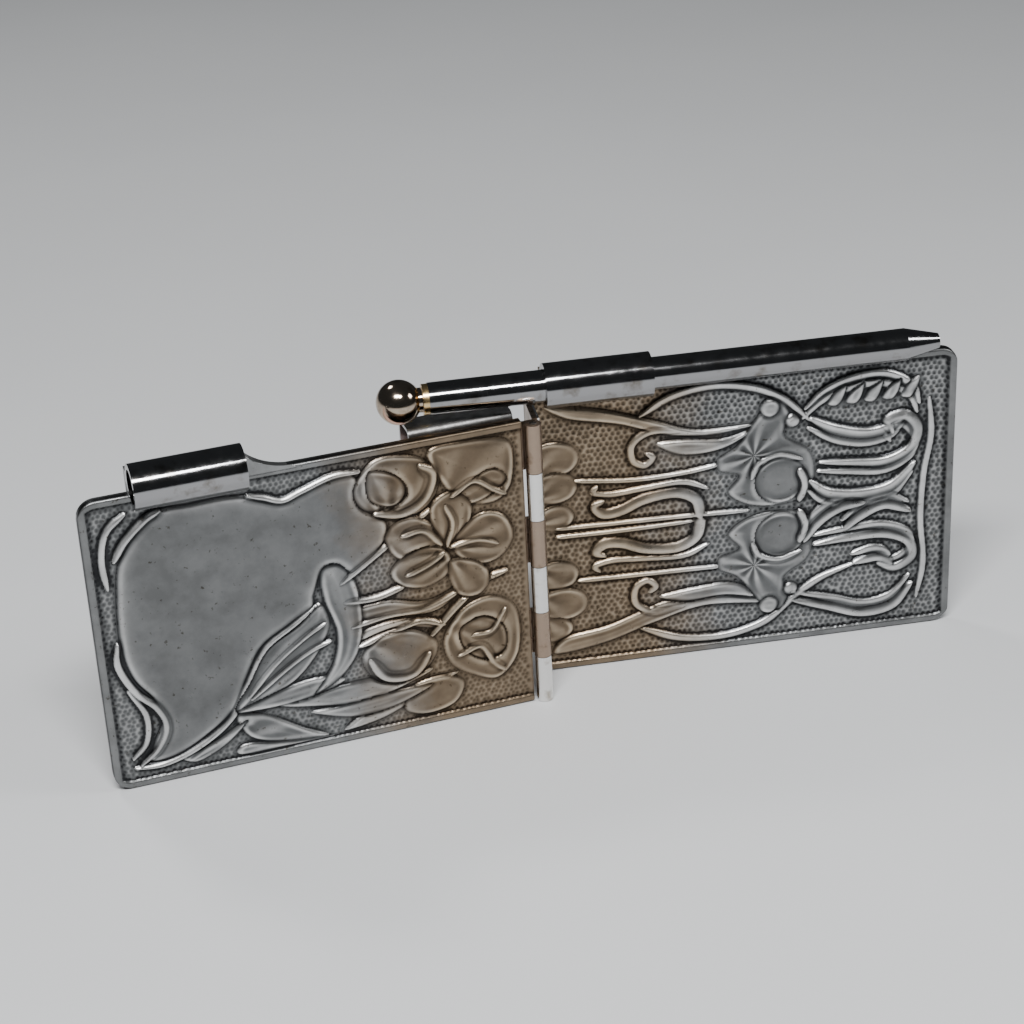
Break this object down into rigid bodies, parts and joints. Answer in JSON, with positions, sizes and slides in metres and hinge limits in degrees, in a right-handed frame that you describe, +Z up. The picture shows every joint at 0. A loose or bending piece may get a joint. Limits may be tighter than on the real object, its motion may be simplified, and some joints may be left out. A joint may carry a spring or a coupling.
{
  "type": "pocket ink blotter",
  "caption": "Pocket blotter of hinged decorated metal covers, with a propelling pencil held in a loop and a sleeve of blotting leaves behind one cover.",
  "frame": {"origin": "on the back cover's bottom edge, midway between the hinge line and the free edge, midway through the sheet", "axes": "+X along the back cover from the hinge to the free edge, +Y from the decorated face to the hidden face, +Z up from the long edges that the part stands on"},
  "size_m": [0.1672, 0.0322, 0.068],
  "materials": {
    "cover_metal": "tarnished silver plate with a raised floral pattern",
    "hinge_metal": "satin, tarnished brown",
    "bright_metal": "polished silver plate",
    "sleeve_metal": "plain satin",
    "spring_steel": "spring temper",
    "brass": "turned",
    "card": "pressed board",
    "blotting_paper": "soft absorbent paper",
    "graphite": "drawn graphite"
  },
  "bodies": {
    "back_cover": {"back_plate": "cover_metal", "spine_wall": "hinge_metal", "back_hinge_leaf": "bright_metal", "back_pencil_loop": "bright_metal"},
    "front_cover": {"front_plate": "cover_metal", "front_hinge_leaf": "hinge_metal", "hinge_pin": "bright_metal", "front_pencil_loop": "bright_metal", "leaf_holder": "sleeve_metal", "holder_brackets": "sleeve_metal", "clamp_spring": "spring_steel", "backing_card": "card", "blotting_leaves": "blotting_paper"},
    "pencil": {"pencil_barrel": "bright_metal", "pencil_nose": "bright_metal", "pencil_ring": "brass", "barrel_bush": "brass"},
    "knob": {"knob": "bright_metal", "drive_screw": "brass"},
    "lead": {"lead_carrier": "brass", "lead": "graphite"}
  },
  "joints": [
    {"name": "cover_hinge", "type": "hinge", "parent": "back_cover", "child": "front_cover", "pos_m": [-0.042, -0.0104, 0], "axis": [0, 0, 1], "range_deg": [-5, 162]},
    {"name": "pencil_slide", "type": "slide", "parent": "back_cover", "child": "pencil", "axis": [1, 0, 0], "range_m": [-0.078, 0.0225]},
    {"name": "knob_twist", "type": "hinge", "parent": "pencil", "child": "knob", "pos_m": [-0.065, -0.0053, 0.0638], "axis": [1, 0, 0], "range_deg": [0, 720]},
    {"name": "lead_feed", "type": "slide", "parent": "pencil", "child": "lead", "axis": [1, 0, 0], "range_m": [0, 0.006]}
  ],
  "couplings": [
    {"joint": "knob_twist", "follows": "lead_feed", "rad_per_m": 2094.4}
  ]
}
